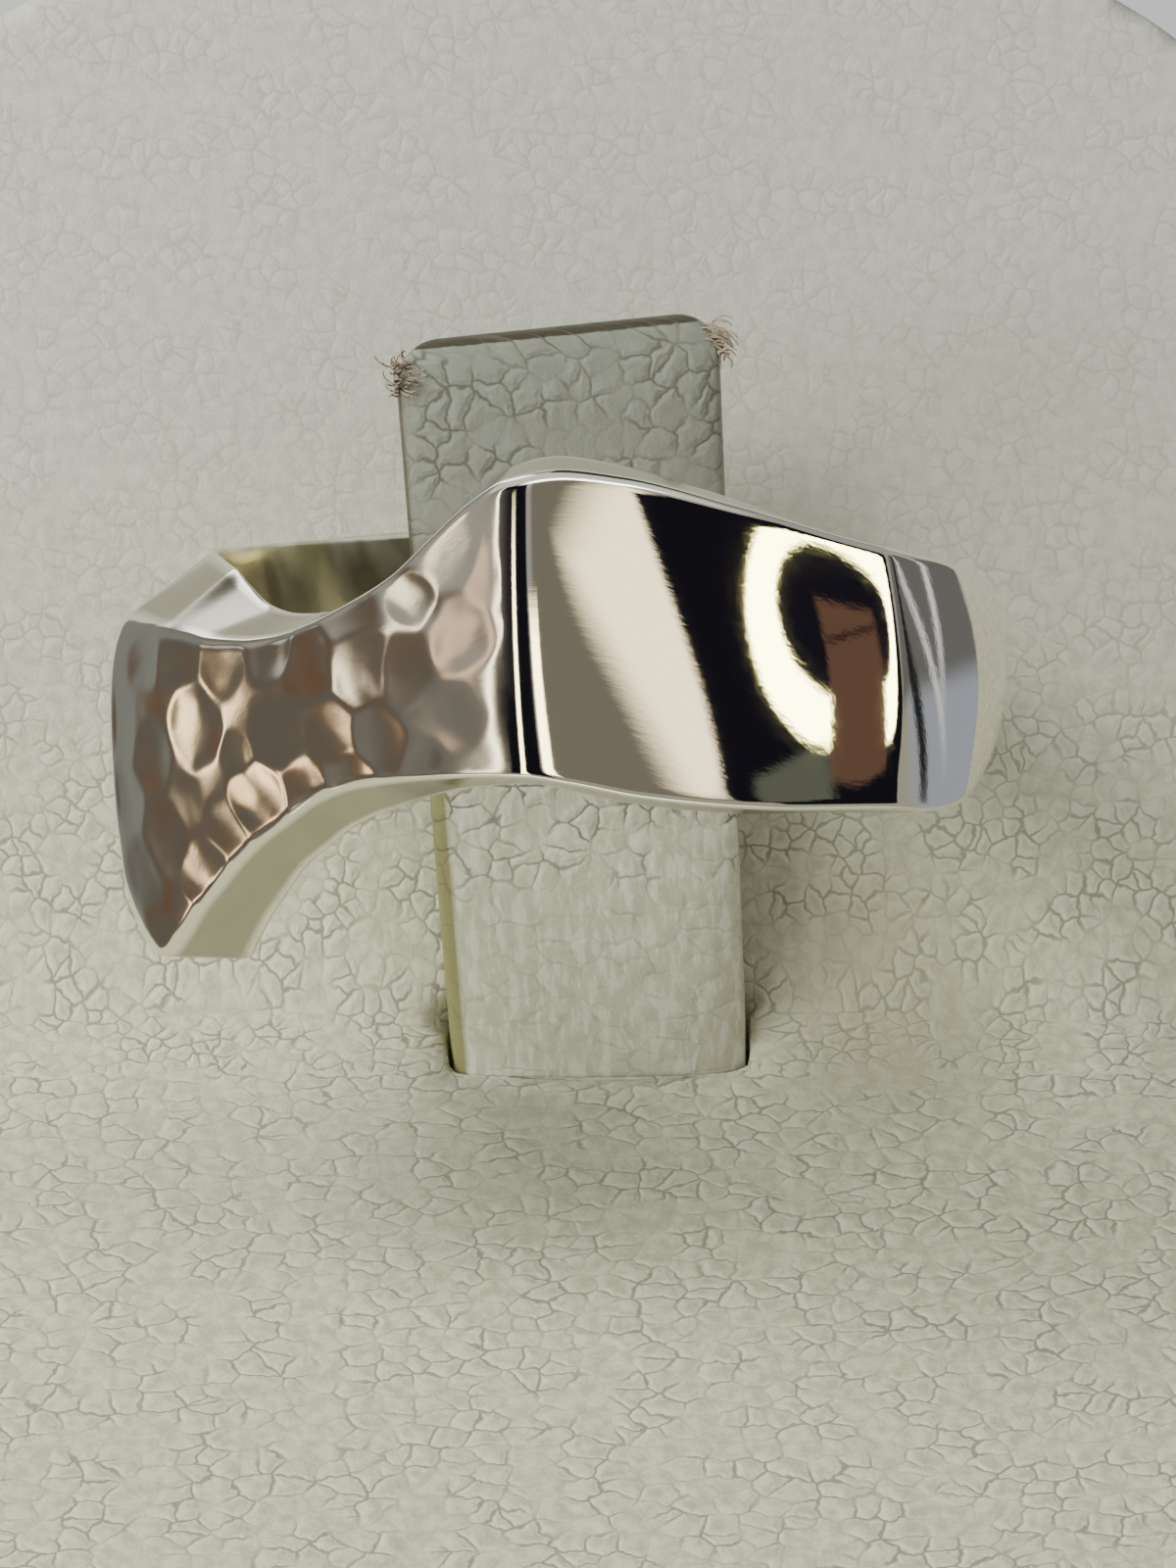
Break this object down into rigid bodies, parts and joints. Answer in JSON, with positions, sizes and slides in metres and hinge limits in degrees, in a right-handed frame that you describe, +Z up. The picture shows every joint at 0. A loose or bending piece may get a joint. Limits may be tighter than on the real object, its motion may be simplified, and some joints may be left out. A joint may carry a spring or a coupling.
{
  "type": "ring on a display stand",
  "caption": "Wide asymmetric silver ring, hammered on one side and polished on the other, over the tongue of a small leatherette stand.",
  "frame": {"origin": "middle of the stand's base, on the surface that it stands on", "axes": "+Z up, -Y towards the viewer of the ring's front face, +X to that viewer's right"},
  "size_m": [0.044, 0.043, 0.0333],
  "materials": {
    "silver": "polished silver with a hammered face",
    "leatherette": "matte cream crackle leatherette"
  },
  "bodies": {
    "root": {"ring": "silver", "tongue": "leatherette", "stand": "leatherette"}
  },
  "joints": []
}
